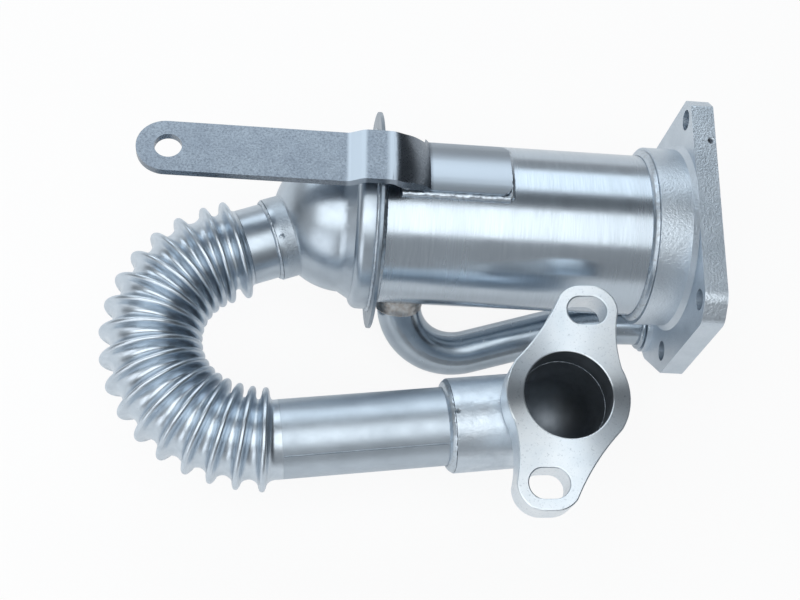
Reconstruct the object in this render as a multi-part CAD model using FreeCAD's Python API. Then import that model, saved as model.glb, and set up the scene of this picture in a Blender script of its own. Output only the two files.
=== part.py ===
import FreeCAD, Part

import math
import os

# Exhaust gas cooler: round jacket with a tube bundle, gas bellows, two gas flanges and a water pipe.
# Frame: +X runs along the jacket and out of the square flange, whose mounting face is x = 0.
# The origin is the centre of the gas port in that face. +Z is the way the oval flange faces.
# All sizes are in millimetres.

V = FreeCAD.Vector

# Square flange
FLANGE_THICKNESS = 7.5
FLANGE_HALF_HEIGHT = 38.5
FLANGE_FRONT = 30.3
FLANGE_CHAMFER = 4.2
FLANGE_EDGE_RADIUS = 1.2
FLANGE_REAR_SLOPE_RADIUS = 7.0
FLANGE_REAR_SHOULDER = 5.0
FLANGE_REAR_BULGE = 3.6
FLANGE_FAR_MARGIN = 7.0
FLANGE_LOBE_RADIUS = 8.0
FLANGE_SHOULDER_MARGIN = 0.28
FLANGE_REAR_INSET = 2.0
FLANGE_REAR_DROP = 5.5
FLANGE_FOOT_DROP = 2.5
FLANGE_FOOT_RADIUS = 3.0
# Outline corners as across, up and rounding: in lobe sizes from the coolant port, and in margins from
# the far bolt
LOBE_CORNER_SHARES = ((-1.0, -0.41, 0.75), (-0.3, -0.86, 1.0), (0.8, -0.8, 1.0))
FAR_CORNER_SHARES = ((-0.3, -1.0, 0.9), (0.0, 0.3, 0.6))
COLLAR_LENGTH = 12.0
COLLAR_WALL = 2.9
COLLAR_STOP_LENGTH = 3.6
COLLAR_STOP_STEP = 1.4
COLLAR_ROOT_FILLET = 1.6
GAS_PORT_RADIUS = 19.6
GAS_PORT_RELIEF = 0.5
SPIGOT_WALL = 2.0
SPIGOT_LENGTH = 6.4
BOLT_HOLE_RADIUS = 3.4
BOLT_HALF_SPACING = 32.0
BOLT_FRONT = 24.4
LOW_BOLT_PLACE = (-34.8, -16.8)
FAR_BOLT_PLACE = (32.0, -24.0)
RETURN_SLOT_WIDTH = 2.6
RETURN_SLOT_WALL = 0.7
RETURN_SLOT_HALF_ANGLE = 24.0

# Jacket
SHELL_OUTER_RADIUS = 27.0
SHELL_WALL = 1.5
HEADER_FACE_REACH = 108.2
HEADER_THICKNESS = 1.2
HEADER_RADIUS = 35.85
SLIP_CLEARANCE = 0.05

# Tube bundle
GAS_TUBE_RADIUS = 3.0
GAS_TUBE_WALL = 0.5
GAS_TUBE_PITCH = 8.0
GAS_TUBE_INLET_PROUD = 0.8
GAS_TUBE_OUTLET_PROUD = 0.3
OUTLET_SHEET_THICKNESS = 1.2
BAFFLE_THICKNESS = 0.8
BAFFLE_CUT = 12.0
BAFFLE_COUNT = 3
BAFFLE_EDGE_GAP = 0.2

# Inlet dome and neck
DOME_RADIUS = 24.3
DOME_CENTRE_OFFSET = 8.6
DOME_WALL = 1.2
DOME_MEET_ANGLE = 86.0
SKIRT_RADIUS = 29.5
SKIRT_LENGTH = 5.4
SKIRT_SHOULDER = 3.0
NECK_ANGLE = 200.9
CUFF_REACH = 25.8
CUFF_WALL = 1.1
PIPE_RADIUS = 12.4
PIPE_WALL = 1.2

# Bellows
CONVOLUTION_COUNT = 17
BELLOWS_WALL = 0.4
CREST_RADIUS = 16.2
FOLD_FOOT_HALF_WIDTH = 1.9
FOLD_CREST_HALF_WIDTH = 0.5
BELLOWS_START = 35.05
BELLOWS_TAIL = 2.0
BELLOWS_END_RUN = 0.1
BEND_START = 43.2
FIRST_BEND_RADIUS = 31.0
FIRST_BEND_ANGLE = 134.1
SECOND_BEND_RADIUS = 44.0
SECOND_BEND_ANGLE = 32.2

# Lower pipe, elbow and oval flange
ELBOW_CORNER_REACH = 86.4
ELBOW_RADIUS = 15.0
ELBOW_UPRIGHT_WALL = 1.9
SOCKET_LENGTH = 33.2
SOCKET_DEPTH = 8.0
OVAL_FACE_HEIGHT = 25.4
OVAL_THICKNESS = 10.0
OVAL_BORE_RADIUS = 13.65
OVAL_DISC_RADIUS = 19.15
OVAL_SLOT_SPACING = 56.6
OVAL_SLOT_LINE_ANGLE = 76.4
OVAL_SLOT_TURN = 3.0
OVAL_SLOT_RADIUS = 4.6
OVAL_SLOT_LENGTH = 12.3
OVAL_LOBE_MARGIN = 3.7
OVAL_FOOT_ANGLE = 28.0
OVAL_LEFT_TANGENT_ANGLE = 147.0
OVAL_WAIST_HOLLOW = 1.1

# Coolant pipe
COOLANT_PIPE_RADIUS = 7.5
COOLANT_PIPE_WALL = 1.0
COOLANT_NOZZLE_INSET = 10.4
COOLANT_NOZZLE_ANGLE = 225.0
COOLANT_NOZZLE_RUN = 28.1
COOLANT_FIRST_BEND_RADIUS = 21.0
COOLANT_SECOND_CORNER_REACH = 28.3
COOLANT_SECOND_BEND_RADIUS = 120.0
COOLANT_PORT_PLACE = (-19.4, -32.5)
COOLANT_PORT_RADIUS = 6.0
COOLANT_SOCKET_DEPTH = 4.0
COOLANT_BOSS_RADIUS = 9.8
COOLANT_BOSS_HEIGHT = 2.0
COOLANT_BOSS_MARGIN = 1.4
COOLANT_BEAD_WIDTH = 1.8
COOLANT_BEAD_RADIUS = 9.0
COOLANT_BEAD_GAP = 0.4
NOZZLE_FOOT_RADIUS = 10.2
NOZZLE_FOOT_HEIGHT = 4.2
NOZZLE_FOOT_SINK = 0.4
NOZZLE_FOOT_LIP = 0.3

# Mounting strap
STRAP_WIDTH = 18.0
STRAP_THICKNESS = 2.5
STRAP_TURN = 7.0
STRAP_ARM_LENGTH = 64.9
STRAP_HOLE_INSET = 9.7
STRAP_HOLE_RADIUS = 4.2
STRAP_LOW_RISE = 2.4
STRAP_FIN_CLEARANCE = 0.3
JOGGLE_INSET = 5.6
JOGGLE_RUN = 4.7
STEP_INSET = 3.4
STEP_RUN = 11.4
STEP_RUN_ON = 7.0
STEP_WIDENING = 3.2
STRAP_BEND_RADIUS = 3.0
STRAP_EDGE_BLEND = 8.0
STEP_EASE = 1.5
SADDLE_LENGTH = 25.9
SADDLE_LOW_ANGLE = -3.5
SADDLE_HIGH_ANGLE = 37.5
SADDLE_CORNER_RADIUS = 3.0

# Weld beads
WELD_LEG = 2.0
STRAP_WELD_RADIUS = 1.5
STRAP_WELD_RUN_ON = 9.0
STRAP_WELD_GAP_ANGLE = 1.2
WELD_BULGE = 0.62

# Places that follow from the sizes
plate_inner_x = -FLANGE_THICKNESS
collar_end_x = plate_inner_x - COLLAR_LENGTH
shell_start_x = -HEADER_FACE_REACH
shell_end_x = plate_inner_x - COLLAR_STOP_LENGTH
shell_inner_radius = SHELL_OUTER_RADIUS - SHELL_WALL
collar_outer_radius = SHELL_OUTER_RADIUS + COLLAR_WALL
header_far_x = shell_start_x - HEADER_THICKNESS
sheet_near_x = plate_inner_x - SPIGOT_LENGTH
sheet_far_x = sheet_near_x - OUTLET_SHEET_THICKNESS
spigot_radius = GAS_PORT_RADIUS + SPIGOT_WALL
dome_centre = V(header_far_x - DOME_CENTRE_OFFSET, 0, 0)
pipe_inner_radius = PIPE_RADIUS - PIPE_WALL
nozzle_x = shell_start_x + COOLANT_NOZZLE_INSET
joggle_near_x = header_far_x - JOGGLE_INSET
joggle_far_x = joggle_near_x - JOGGLE_RUN
strap_end_x = joggle_far_x - STRAP_ARM_LENGTH
strap_hole_x = strap_end_x + STRAP_HOLE_INSET
step_top_x = shell_start_x + STEP_INSET
step_foot_x = step_top_x + STEP_RUN
saddle_end_x = step_foot_x + SADDLE_LENGTH

x_axis = V(1, 0, 0)
z_axis = V(0, 0, 1)
origin = V(0, 0, 0)


def heading(degrees):
    """Unit vector in the XY plane at an angle from +X."""
    return V(math.cos(math.radians(degrees)), math.sin(math.radians(degrees)), 0)


def round_bar(start, direction, radius, length):
    return Part.makeCylinder(radius, length, start, direction)


def ring(start, direction, outer_radius, inner_radius, length):
    return round_bar(start, direction, outer_radius, length).cut(
        round_bar(start, direction, inner_radius, length))


def bent_bar(start, direction, radius, centre, axis, turn):
    """Round bar along an arc of a circle."""
    section = Part.Face(Part.Wire(Part.makeCircle(radius, start, direction)))
    return section.revolve(centre, axis, turn)


def revolved(points, axis_place, axis_direction, turn=360):
    """Solid made by turning a closed polygon about an axis."""
    face = Part.Face(Part.makePolygon(points + points[:1]))
    return face.revolve(axis_place, axis_direction, turn)


def fuse_all(shapes):
    """One solid out of touching shapes, with flush faces merged."""
    result = shapes[0].multiFuse(shapes[1:]) if len(shapes) > 1 else shapes[0]
    return result.removeSplitter()


def rounded_outline(corners, place):
    """Closed wire through 2D corners, each with its own corner radius. place maps (a, b) to space."""
    count = len(corners)
    pieces = []
    for i in range(count):
        before = V(corners[i - 1][0], corners[i - 1][1], 0)
        here = V(corners[i][0], corners[i][1], 0)
        after = V(corners[(i + 1) % count][0], corners[(i + 1) % count][1], 0)
        to_before = (before - here).normalize()
        to_after = (after - here).normalize()
        half = to_before.getAngle(to_after) / 2
        run = corners[i][2] / math.tan(half)
        middle = (to_before + to_after).normalize()
        centre = here + middle * (corners[i][2] / math.sin(half))
        pieces.append((here + to_before * run, centre - middle * corners[i][2], here + to_after * run))
    edges = []
    for i in range(count):
        start, mid, end = (place(p.x, p.y) for p in pieces[i])
        following = pieces[(i + 1) % count][0]
        if corners[i][2] > 0:
            edges.append(Part.Arc(start, mid, end).toShape())
        edges.append(Part.LineSegment(end, place(following.x, following.y)).toShape())
    return Part.Wire(edges)


def bundle_places():
    """Centres of the gas tubes: one in the middle and two hexagonal rings about it."""
    places = []
    for row in range(-2, 3):
        for column in range(-2, 3):
            if abs(row + column) <= 2:
                y = GAS_TUBE_PITCH * (column + row / 2)
                z = GAS_TUBE_PITCH * row * math.sqrt(3) / 2
                places.append((y, z))
    return places


def bundle_holes(start_x, length):
    return [round_bar(V(start_x, y, z), x_axis, GAS_TUBE_RADIUS + SLIP_CLEARANCE, length)
            for y, z in bundle_places()]


def route_frame(distance):
    """Point and heading on the gas line, measured from the dome's centre through both bends."""
    first_length = math.radians(FIRST_BEND_ANGLE) * FIRST_BEND_RADIUS
    second_length = math.radians(SECOND_BEND_ANGLE) * SECOND_BEND_RADIUS
    if distance <= BEND_START:
        return dome_centre + heading(NECK_ANGLE) * distance, NECK_ANGLE
    start = dome_centre + heading(NECK_ANGLE) * BEND_START
    first_turn = min(distance - BEND_START, first_length) / FIRST_BEND_RADIUS
    first_centre = start + heading(NECK_ANGLE + 90) * FIRST_BEND_RADIUS
    angle = NECK_ANGLE + math.degrees(first_turn)
    point = first_centre - heading(angle + 90) * FIRST_BEND_RADIUS
    left = distance - BEND_START - first_length
    if left <= 0:
        return point, angle
    second_centre = point + heading(angle + 90) * SECOND_BEND_RADIUS
    angle += math.degrees(min(left, second_length) / SECOND_BEND_RADIUS)
    point = second_centre - heading(angle + 90) * SECOND_BEND_RADIUS
    left -= second_length
    if left > 0:
        point = point + heading(angle) * left
    return point, angle


bends_end = (BEND_START + math.radians(FIRST_BEND_ANGLE) * FIRST_BEND_RADIUS
             + math.radians(SECOND_BEND_ANGLE) * SECOND_BEND_RADIUS)
bellows_end = bends_end + BELLOWS_END_RUN
convolution_pitch = (bellows_end - BELLOWS_TAIL - BELLOWS_START) / CONVOLUTION_COUNT
elbow_corner, elbow_heading = route_frame(bends_end + ELBOW_CORNER_REACH)
oval_back_z = OVAL_FACE_HEIGHT - OVAL_THICKNESS


# Square flange
def flange_plate():
    half = FLANGE_HALF_HEIGHT
    front = FLANGE_FRONT
    chamfer = FLANGE_CHAMFER
    edge = FLANGE_EDGE_RADIUS
    lobe_radius = FLANGE_LOBE_RADIUS
    slope = FLANGE_REAR_SLOPE_RADIUS
    margin = FLANGE_FAR_MARGIN
    rear = half + FLANGE_REAR_BULGE
    port_y, port_z = COOLANT_PORT_PLACE
    lobe = COOLANT_BOSS_RADIUS + COOLANT_BOSS_MARGIN
    corners = [
        (half, front - chamfer, edge),
        (half - chamfer, front, edge),
        (FLANGE_REAR_SHOULDER + FLANGE_SHOULDER_MARGIN - half, front, slope),
        (FLANGE_REAR_INSET - rear, front - FLANGE_REAR_DROP, FLANGE_REAR_SHOULDER),
        (-rear, LOW_BOLT_PLACE[1] - FLANGE_FOOT_DROP, FLANGE_FOOT_RADIUS),
    ]
    for across, up, rounding in LOBE_CORNER_SHARES:
        corners.append((port_y + across * lobe, port_z + up * lobe, rounding * lobe_radius))
    for across, up, rounding in FAR_CORNER_SHARES:
        corners.append((half + across * margin, FAR_BOLT_PLACE[1] + up * margin, rounding * margin))
    outline = rounded_outline(corners, lambda y, z: V(plate_inner_x, y, z))
    return Part.Face(outline).extrude(V(FLANGE_THICKNESS, 0, 0))


def bolt_places():
    return [(BOLT_HALF_SPACING, BOLT_FRONT), (-BOLT_HALF_SPACING, BOLT_FRONT),
            LOW_BOLT_PLACE, FAR_BOLT_PLACE]


def return_slot():
    """Curved coolant slot through the plate, between the gas spigot and the collar."""
    slot_inner = spigot_radius + RETURN_SLOT_WALL
    sector = ring(V(plate_inner_x - 1, 0, 0), x_axis, slot_inner + RETURN_SLOT_WIDTH, slot_inner,
                  FLANGE_THICKNESS + 2)
    reach = 2 * slot_inner
    wedge_corners = [origin]
    for side in (-1, 1):
        turn = math.radians(side * RETURN_SLOT_HALF_ANGLE)
        wedge_corners.append(V(0, reach * math.cos(turn), reach * math.sin(turn)))
    wedge = Part.Face(Part.makePolygon(wedge_corners + wedge_corners[:1]))
    wedge.translate(V(plate_inner_x - 1, 0, 0))
    return sector.common(wedge.extrude(V(FLANGE_THICKNESS + 2, 0, 0)))


def make_square_flange():
    port = V(plate_inner_x, *COOLANT_PORT_PLACE)
    collar = round_bar(V(collar_end_x, 0, 0), x_axis, collar_outer_radius, COLLAR_LENGTH)
    root = revolved([V(plate_inner_x, collar_outer_radius - 1, 0),
                     V(plate_inner_x, collar_outer_radius + COLLAR_ROOT_FILLET, 0),
                     V(plate_inner_x - COLLAR_ROOT_FILLET, collar_outer_radius, 0),
                     V(plate_inner_x - COLLAR_ROOT_FILLET, collar_outer_radius - 1, 0)],
                    origin, x_axis)
    boss = round_bar(port - x_axis * COOLANT_BOSS_HEIGHT, x_axis, COOLANT_BOSS_RADIUS,
                     COOLANT_BOSS_HEIGHT)
    body = fuse_all([flange_plate(), collar, root, boss])
    socket_radius = SHELL_OUTER_RADIUS + SLIP_CLEARANCE
    cuts = [round_bar(V(collar_end_x, 0, 0), x_axis, socket_radius, shell_end_x - collar_end_x),
            round_bar(V(collar_end_x, 0, 0), x_axis, SHELL_OUTER_RADIUS - COLLAR_STOP_STEP, COLLAR_LENGTH)]
    body = body.cut(Part.makeCompound(cuts))
    spigot = round_bar(V(sheet_near_x, 0, 0), x_axis, spigot_radius, SPIGOT_LENGTH)
    body = fuse_all([body, spigot])
    bore_length = FLANGE_THICKNESS + SPIGOT_LENGTH
    holes = [round_bar(V(sheet_near_x, 0, 0), x_axis, GAS_PORT_RADIUS, bore_length), return_slot()]
    holes.append(round_bar(V(sheet_near_x, 0, 0), x_axis, GAS_PORT_RADIUS + GAS_PORT_RELIEF,
                           GAS_PORT_RELIEF))
    holes += [round_bar(V(plate_inner_x - 1, y, z), x_axis, BOLT_HOLE_RADIUS, FLANGE_THICKNESS + 2)
              for y, z in bolt_places()]
    relief_start = port - x_axis * COLLAR_LENGTH
    holes += [
        round_bar(relief_start, x_axis, COOLANT_BEAD_RADIUS + COOLANT_BEAD_GAP,
                  COLLAR_LENGTH - COOLANT_BOSS_HEIGHT),
        round_bar(relief_start, x_axis, COOLANT_PIPE_RADIUS + SLIP_CLEARANCE,
                  COLLAR_LENGTH + COOLANT_SOCKET_DEPTH),
        round_bar(port, x_axis, COOLANT_PORT_RADIUS, FLANGE_THICKNESS),
    ]
    return body.cut(Part.makeCompound(holes))


# Jacket and tube bundle
def nozzle_direction():
    turn = math.radians(COOLANT_NOZZLE_ANGLE)
    return V(0, math.cos(turn), math.sin(turn))


def make_shell():
    tube = ring(V(shell_start_x, 0, 0), x_axis, SHELL_OUTER_RADIUS, shell_inner_radius,
                shell_end_x - shell_start_x)
    nozzle = round_bar(V(nozzle_x, 0, 0), nozzle_direction(),
                       COOLANT_PIPE_RADIUS - COOLANT_PIPE_WALL, 2 * SHELL_OUTER_RADIUS)
    return tube.cut(nozzle)


def make_inlet_header_plate():
    plate = round_bar(V(header_far_x, 0, 0), x_axis, HEADER_RADIUS, HEADER_THICKNESS)
    return plate.cut(Part.makeCompound(bundle_holes(header_far_x - 1, HEADER_THICKNESS + 2)))


def make_outlet_tube_sheet():
    plate = round_bar(V(sheet_far_x, 0, 0), x_axis, spigot_radius, OUTLET_SHEET_THICKNESS)
    return plate.cut(Part.makeCompound(bundle_holes(sheet_far_x - 1, OUTLET_SHEET_THICKNESS + 2)))


def make_gas_tube(y, z):
    start = header_far_x - GAS_TUBE_INLET_PROUD
    length = sheet_near_x + GAS_TUBE_OUTLET_PROUD - start
    return ring(V(start, y, z), x_axis, GAS_TUBE_RADIUS, GAS_TUBE_RADIUS - GAS_TUBE_WALL, length)


def make_baffle(index):
    """Segment plate across the bundle, open on alternate sides."""
    span = sheet_far_x - shell_start_x
    x = shell_start_x + span * (index + 1) / (BAFFLE_COUNT + 1)
    radius = shell_inner_radius - BAFFLE_EDGE_GAP
    disc = round_bar(V(x, 0, 0), x_axis, radius, BAFFLE_THICKNESS)
    side = 1 if index % 2 == 0 else -1
    window = Part.makeBox(BAFFLE_THICKNESS, 2 * radius, radius,
                          V(x, -radius, BAFFLE_CUT if side > 0 else -BAFFLE_CUT - radius))
    return disc.cut(Part.makeCompound([window] + bundle_holes(x - 1, BAFFLE_THICKNESS + 2)))


# Inlet dome and neck
def dome_profile(inset):
    """Half section of the dome with its skirt, moved inwards by inset. It closes on the axis."""
    sphere = DOME_RADIUS - inset
    skirt = SKIRT_RADIUS - inset
    skirt_far_x = header_far_x - SKIRT_LENGTH - (DOME_WALL - inset)
    shoulder = SKIRT_SHOULDER - inset
    meet_angle = math.radians(DOME_MEET_ANGLE)
    meet_height = sphere * math.sin(meet_angle)
    meet_x = dome_centre.x - sphere * math.cos(meet_angle)
    mid_angle = meet_angle / 2
    crown_mid = V(dome_centre.x - sphere * math.cos(mid_angle), sphere * math.sin(mid_angle), 0)
    shoulder_centre = V(skirt_far_x + shoulder, skirt - shoulder, 0)
    shoulder_mid = shoulder_centre + heading(135) * shoulder
    edges = [
        Part.LineSegment(V(header_far_x, 0, 0), V(header_far_x, skirt, 0)),
        Part.LineSegment(V(header_far_x, skirt, 0), V(skirt_far_x + shoulder, skirt, 0)),
        Part.Arc(V(skirt_far_x + shoulder, skirt, 0), shoulder_mid, V(skirt_far_x, skirt - shoulder, 0)),
        Part.LineSegment(V(skirt_far_x, skirt - shoulder, 0), V(meet_x, meet_height, 0)),
        Part.Arc(V(meet_x, meet_height, 0), crown_mid, V(dome_centre.x - sphere, 0, 0)),
        Part.LineSegment(V(dome_centre.x - sphere, 0, 0), V(header_far_x, 0, 0)),
    ]
    return Part.Face(Part.Wire([edge.toShape() for edge in edges]))


def make_inlet_dome():
    outside = dome_profile(0).revolve(origin, x_axis, 360)
    inside = dome_profile(DOME_WALL).revolve(origin, x_axis, 360)
    along = heading(NECK_ANGLE)
    cuff_outer = PIPE_RADIUS + SLIP_CLEARANCE + CUFF_WALL
    cuff = round_bar(dome_centre, along, cuff_outer, CUFF_REACH)
    bore = round_bar(dome_centre, along, PIPE_RADIUS + SLIP_CLEARANCE, CUFF_REACH)
    return outside.fuse(cuff).cut(inside).cut(bore).removeSplitter()


def make_neck_pipe():
    start = math.sqrt((DOME_RADIUS - DOME_WALL) ** 2 - PIPE_RADIUS ** 2)
    point, angle = route_frame(start)
    return ring(point, heading(angle), PIPE_RADIUS, pipe_inner_radius, BELLOWS_START - start)


# Bellows. Each fold is straight in itself and meets its neighbours in a mitre plane.
def crossing(first, second):
    """Point where the axes of two neighbouring folds meet, and the normal of their mitre plane."""
    (point, angle), (next_point, next_angle) = first, second
    along = heading(angle)
    turn = math.sin(math.radians(next_angle - angle))
    if abs(turn) < 1e-6:
        return (point + next_point) * 0.5, along
    reach = (next_point - point).cross(heading(next_angle)).z / turn
    return point + along * reach, (along + heading(next_angle)).normalize()


def half_space(point, normal):
    """Bar that stands for everything beyond a plane, as far as a fold can reach."""
    return round_bar(point, normal, 2 * CREST_RADIUS, 2 * CREST_RADIUS)


def fold_ring(station, crested):
    """Ring about one fold's own axis. The last station has no crest."""
    point, angle = station
    bore = PIPE_RADIUS - BELLOWS_WALL
    profile = [(-convolution_pitch, bore), (-convolution_pitch, PIPE_RADIUS)]
    if crested:
        profile += [(-FOLD_FOOT_HALF_WIDTH, PIPE_RADIUS), (-FOLD_CREST_HALF_WIDTH, CREST_RADIUS),
                    (FOLD_CREST_HALF_WIDTH, CREST_RADIUS), (FOLD_FOOT_HALF_WIDTH, PIPE_RADIUS)]
    profile += [(convolution_pitch, PIPE_RADIUS), (convolution_pitch, bore)]
    out = heading(angle + 90)
    return revolved([point + heading(angle) * place + out * radius for place, radius in profile],
                    point, heading(angle))


def make_bellows():
    stations = [route_frame(BELLOWS_START + (number + 0.5) * convolution_pitch)
                for number in range(CONVOLUTION_COUNT)]
    stations.append(route_frame(bellows_end))
    start, start_angle = route_frame(BELLOWS_START)
    cuts = [(start, heading(start_angle))]
    cuts += [crossing(first, second) for first, second in zip(stations, stations[1:])]
    cuts.append((stations[-1][0], heading(stations[-1][1])))
    folds = []
    for number, station in enumerate(stations):
        before, after = cuts[number], cuts[number + 1]
        fold = fold_ring(station, number < CONVOLUTION_COUNT)
        folds.append(fold.cut(half_space(after[0], after[1])).cut(half_space(before[0], before[1] * -1)))
    return folds[0].multiFuse(folds[1:]).removeSplitter()


# Lower pipe, elbow and oval flange
def make_lower_pipe():
    start, angle = route_frame(bellows_end)
    socket_start = elbow_corner - heading(elbow_heading) * SOCKET_LENGTH
    length = (socket_start - start).dot(heading(angle)) + SOCKET_DEPTH
    end = socket_start + heading(elbow_heading) * SOCKET_DEPTH
    return ring(end - heading(elbow_heading) * length, heading(elbow_heading), PIPE_RADIUS,
                pipe_inner_radius, length)


def elbow_skin(level_radius, upright_radius):
    level = round_bar(elbow_corner, heading(elbow_heading + 180), level_radius, SOCKET_LENGTH)
    upright = round_bar(elbow_corner, z_axis, upright_radius, oval_back_z)
    corner = Part.makeSphere(upright_radius, elbow_corner)
    return level.fuse([upright, corner])


def make_elbow():
    outside = elbow_skin(ELBOW_RADIUS, ELBOW_RADIUS)
    bore = elbow_skin(PIPE_RADIUS + SLIP_CLEARANCE, ELBOW_RADIUS - ELBOW_UPRIGHT_WALL)
    return outside.cut(bore).removeSplitter()


def slot_shape(centre, radius, half_run, turn):
    """Round-ended slot outline as a face at z = 0."""
    along = heading(turn)
    across = heading(turn + 90)
    ends = [centre + along * half_run, centre - along * half_run]
    edges = [
        Part.LineSegment(ends[1] - across * radius, ends[0] - across * radius),
        Part.Arc(ends[0] - across * radius, ends[0] + along * radius, ends[0] + across * radius),
        Part.LineSegment(ends[0] + across * radius, ends[1] + across * radius),
        Part.Arc(ends[1] + across * radius, ends[1] - along * radius, ends[1] - across * radius),
    ]
    return Part.Face(Part.Wire([edge.toShape() for edge in edges]))


def oval_slot_centres():
    half = heading(OVAL_SLOT_LINE_ANGLE) * (OVAL_SLOT_SPACING / 2)
    return [half, half * -1]


def oval_outline():
    """Half of the two-lobe outline, from the disc round the first lobe and back to the disc."""
    disc = OVAL_DISC_RADIUS
    lobe = OVAL_SLOT_RADIUS + OVAL_LOBE_MARGIN
    half_run = OVAL_SLOT_LENGTH / 2 - OVAL_SLOT_RADIUS
    along = heading(OVAL_SLOT_TURN)
    centre = oval_slot_centres()[0]
    near_end = centre + along * half_run
    far_end = centre - along * half_run
    right_foot = heading(OVAL_FOOT_ANGLE) * disc
    right_top = near_end + heading(0) * lobe
    right_waist = (right_foot + right_top) * 0.5 + heading(180) * OVAL_WAIST_HOLLOW
    top_right = near_end + heading(OVAL_SLOT_TURN + 90) * lobe
    top_left = far_end + heading(OVAL_SLOT_TURN + 90) * lobe
    left_top = far_end + heading(OVAL_LEFT_TANGENT_ANGLE) * lobe
    left_foot = heading(OVAL_LEFT_TANGENT_ANGLE) * disc
    left_waist = (left_foot + left_top) * 0.5 - heading(OVAL_LEFT_TANGENT_ANGLE) * OVAL_WAIST_HOLLOW
    half = [
        Part.Arc(right_foot, right_waist, right_top),
        Part.Arc(right_top, near_end + heading(45) * lobe, top_right),
        Part.LineSegment(top_right, top_left),
        Part.Arc(top_left, far_end + heading(120) * lobe, left_top),
        Part.Arc(left_top, left_waist, left_foot),
        Part.Arc(left_foot, heading(178) * disc, right_foot * -1),
    ]
    edges = [curve.toShape() for curve in half]
    turned = [edge.copy() for edge in edges]
    for edge in turned:
        edge.rotate(origin, z_axis, 180)
    return Part.Face(Part.Wire(edges + turned))


def make_oval_flange():
    plate = oval_outline().extrude(V(0, 0, OVAL_THICKNESS))
    half_run = OVAL_SLOT_LENGTH / 2 - OVAL_SLOT_RADIUS
    cuts = [round_bar(origin, z_axis, OVAL_BORE_RADIUS, OVAL_THICKNESS)]
    cuts += [slot_shape(centre, OVAL_SLOT_RADIUS, half_run, OVAL_SLOT_TURN).extrude(
        V(0, 0, OVAL_THICKNESS)) for centre in oval_slot_centres()]
    flange = plate.cut(Part.makeCompound(cuts))
    flange.translate(elbow_corner + z_axis * oval_back_z)
    return flange


# Coolant pipe
def coolant_corners():
    nozzle = V(nozzle_x, 0, 0) + nozzle_direction() * (SHELL_OUTER_RADIUS - SHELL_WALL)
    first = nozzle + nozzle_direction() * (COOLANT_NOZZLE_RUN + SHELL_WALL)
    second = V(-COOLANT_SECOND_CORNER_REACH, *COOLANT_PORT_PLACE)
    port = V(plate_inner_x + COOLANT_SOCKET_DEPTH, *COOLANT_PORT_PLACE)
    return [nozzle, first, second, port]


def swept_round(radius):
    """Round bar along the coolant pipe's centre line: straight runs joined by tangent arcs."""
    corners = coolant_corners()
    pieces = []
    last = corners[0]
    for index, bend_radius in ((1, COOLANT_FIRST_BEND_RADIUS), (2, COOLANT_SECOND_BEND_RADIUS)):
        here = corners[index]
        back = (corners[index - 1] - here).normalize()
        ahead = (corners[index + 1] - here).normalize()
        half = back.getAngle(ahead) / 2
        run = bend_radius / math.tan(half)
        centre = here + (back + ahead).normalize() * (bend_radius / math.sin(half))
        arc_start = here + back * run
        pieces.append(round_bar(last, back * -1, radius, (arc_start - last).Length))
        pieces.append(bent_bar(arc_start, back * -1, radius, centre, (back * -1).cross(ahead),
                               180 - math.degrees(2 * half)))
        last = here + ahead * run
    pieces.append(round_bar(last, corners[-1] - last, radius, (corners[-1] - last).Length))
    return fuse_all(pieces)


def make_coolant_pipe():
    outside = swept_round(COOLANT_PIPE_RADIUS)
    bead_end_x = plate_inner_x - COOLANT_BOSS_HEIGHT
    bead = round_bar(V(bead_end_x - COOLANT_BEAD_WIDTH, *COOLANT_PORT_PLACE), x_axis,
                     COOLANT_BEAD_RADIUS, COOLANT_BEAD_WIDTH)
    bead = bead.makeFillet(COOLANT_BEAD_WIDTH * 0.45, bead.Edges)
    jacket = round_bar(V(shell_start_x, 0, 0), x_axis, SHELL_OUTER_RADIUS,
                       shell_end_x - shell_start_x)
    return outside.fuse(bead).cut(swept_round(COOLANT_PIPE_RADIUS - COOLANT_PIPE_WALL)).cut(jacket)


def make_coolant_nozzle_braze(weld):
    """Flared foot round the pipe where it meets the jacket, clear of the weld at the jacket's end."""
    out = nozzle_direction()
    start = V(nozzle_x, 0, 0)
    foot_height = math.sqrt(SHELL_OUTER_RADIUS ** 2 - NOZZLE_FOOT_RADIUS ** 2) - NOZZLE_FOOT_SINK
    top_height = SHELL_OUTER_RADIUS + NOZZLE_FOOT_HEIGHT
    inside = COOLANT_PIPE_RADIUS - COOLANT_PIPE_WALL / 2
    outside = COOLANT_PIPE_RADIUS + NOZZLE_FOOT_LIP

    def at(radius, height):
        return start + x_axis * radius + out * height

    waist = at(COOLANT_PIPE_RADIUS + 0.28 * (NOZZLE_FOOT_RADIUS - COOLANT_PIPE_RADIUS),
               SHELL_OUTER_RADIUS + 0.3 * NOZZLE_FOOT_HEIGHT)
    edges = [
        Part.LineSegment(at(inside, foot_height), at(NOZZLE_FOOT_RADIUS, foot_height)),
        Part.Arc(at(NOZZLE_FOOT_RADIUS, foot_height), waist, at(outside, top_height)),
        Part.LineSegment(at(outside, top_height), at(inside, top_height)),
        Part.LineSegment(at(inside, top_height), at(inside, foot_height)),
    ]
    flare = Part.Face(Part.Wire([edge.toShape() for edge in edges])).revolve(start, out, 360)
    jacket = round_bar(V(shell_start_x, 0, 0), x_axis, SHELL_OUTER_RADIUS,
                       shell_end_x - shell_start_x)
    return flare.cut(jacket).cut(swept_round(COOLANT_PIPE_RADIUS)).cut(weld)


# Mounting strap. Its flats lie square to a radius that is turned from +Z towards +Y.
def strap_turned(shape):
    shape.rotate(origin, x_axis, -STRAP_TURN)
    return shape


def strap_heights():
    high = HEADER_RADIUS + STRAP_FIN_CLEARANCE + STRAP_THICKNESS
    return high - STRAP_LOW_RISE, high


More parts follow.
